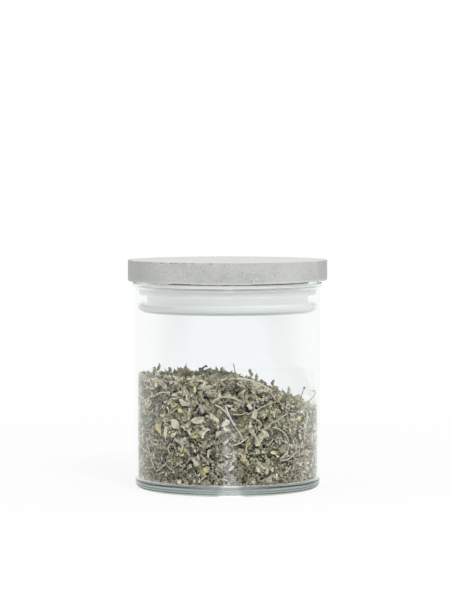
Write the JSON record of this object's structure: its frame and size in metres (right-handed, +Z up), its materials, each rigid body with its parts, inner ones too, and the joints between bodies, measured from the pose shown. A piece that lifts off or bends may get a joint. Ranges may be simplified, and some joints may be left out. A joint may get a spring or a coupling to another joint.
{
  "type": "storage jar",
  "caption": "Clear glass cylinder jar with a cast stone-look lid on a silicone seal, just over half full of dried herb.",
  "frame": {"origin": "centre of the jar's foot ring, on the surface that it stands on", "axes": "+Z up along the jar's axis, -Y towards the viewer, +X to the viewer's right, where the herb lies lower"},
  "size_m": [0.1076, 0.1076, 0.1229],
  "materials": {
    "glass": "polished",
    "cast_lid": "matte",
    "silicone": "satin",
    "herb": "matte"
  },
  "bodies": {
    "jar": {"glass_jar": "glass", "herb_fill": "herb"},
    "lid": {"lid_disc": "cast_lid", "seal_ring": "silicone"}
  },
  "joints": [
    {"name": "lid_lift", "type": "slide", "parent": "jar", "child": "lid", "axis": [0, 0, 1], "range_m": [0, 0.05]}
  ]
}
